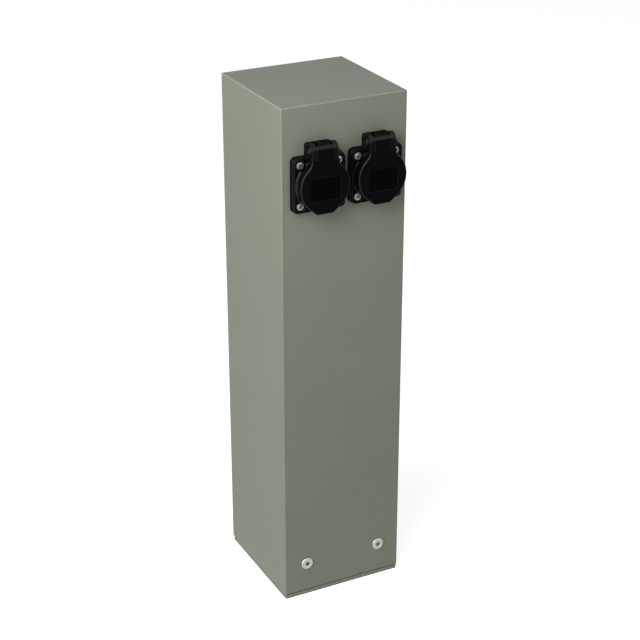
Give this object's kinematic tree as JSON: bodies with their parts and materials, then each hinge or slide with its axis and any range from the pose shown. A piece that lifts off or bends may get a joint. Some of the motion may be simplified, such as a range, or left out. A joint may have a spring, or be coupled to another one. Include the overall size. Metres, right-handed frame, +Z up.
{
  "type": "garden socket post",
  "caption": "Square sheet-metal garden post on a base plate, with panel outlets near the top under sprung hinged lids, screwed together at the foot and wired inside.",
  "frame": {"origin": "centre of the anchor hole pattern on the underside of the base plate", "axes": "+Z up along the post, front with the outlets towards -Y, +X to the right seen from the front"},
  "size_m": [0.125, 0.1462, 0.5],
  "materials": {
    "powder_coat": "satin grey-green powder coat",
    "black_plastic": "satin black moulded plastic",
    "dark_plastic": "matt dark grey moulded plastic",
    "cream_plastic": "cream moulded plastic",
    "rubber": "matt black rubber",
    "stainless": "plain stainless steel",
    "spring_steel": "bright spring wire",
    "black_steel": "blackened steel",
    "zinc_steel": "zinc-plated steel",
    "tinned_copper": "tinned copper",
    "brass": "plain brass",
    "wire_brown": "smooth wire insulation",
    "wire_blue": "smooth wire insulation",
    "wire_green_yellow": "smooth striped wire insulation"
  },
  "bodies": {
    "post": {"post_body": "powder_coat", "base_plate": "powder_coat", "base_bracket_front": "zinc_steel", "base_bracket_rear": "zinc_steel", "base_screws": "stainless", "base_nuts": "zinc_steel", "cable_grommet": "rubber", "earth_stud": "zinc_steel", "earth_washer": "zinc_steel", "earth_nut": "zinc_steel", "earth_lug": "tinned_copper", "equipment_plate": "zinc_steel", "equipment_plate_screws": "zinc_steel", "terminal_strip": "cream_plastic", "terminal_sleeves": "brass", "terminal_clamp_screws": "zinc_steel", "terminal_fixing_screws": "zinc_steel", "cable_clamp": "dark_plastic", "cable_clamp_screws": "zinc_steel", "wires_brown": "wire_brown", "wires_blue": "wire_blue", "wires_earth": "wire_green_yellow", "gasket_left": "rubber", "outlet_housing_left": "black_plastic", "contact_carrier_left": "dark_plastic", "rear_cover_left": "dark_plastic", "cover_screws_left": "zinc_steel", "line_contact_left": "brass", "neutral_contact_left": "brass", "earth_contact_left": "brass", "terminal_screws_left": "zinc_steel", "flange_screws_left": "stainless", "flange_nuts_left": "stainless", "hinge_pin_left": "black_steel", "lid_spring_left": "spring_steel", "gasket_right": "rubber", "outlet_housing_right": "black_plastic", "contact_carrier_right": "dark_plastic", "rear_cover_right": "dark_plastic", "cover_screws_right": "zinc_steel", "line_contact_right": "brass", "neutral_contact_right": "brass", "earth_contact_right": "brass", "terminal_screws_right": "zinc_steel", "flange_screws_right": "stainless", "flange_nuts_right": "stainless", "hinge_pin_right": "black_steel", "lid_spring_right": "spring_steel"},
    "lid_left": {"lid_left": "black_plastic", "lid_seal_left": "rubber"},
    "lid_right": {"lid_right": "black_plastic", "lid_seal_right": "rubber"}
  },
  "joints": [
    {"name": "lid_left_hinge", "type": "hinge", "parent": "post", "child": "lid_left", "pos_m": [-0.0285, -0.0745, 0.4625], "axis": [-1, 0, 0], "range_deg": [0, 110], "stiffness_Nm_per_rad": 0.015, "springref_deg": -57.3, "deforming": ["lid_spring_left"]},
    {"name": "lid_right_hinge", "type": "hinge", "parent": "post", "child": "lid_right", "pos_m": [0.0285, -0.0745, 0.4625], "axis": [-1, 0, 0], "range_deg": [0, 110], "stiffness_Nm_per_rad": 0.015, "springref_deg": -57.3, "deforming": ["lid_spring_right"]}
  ]
}
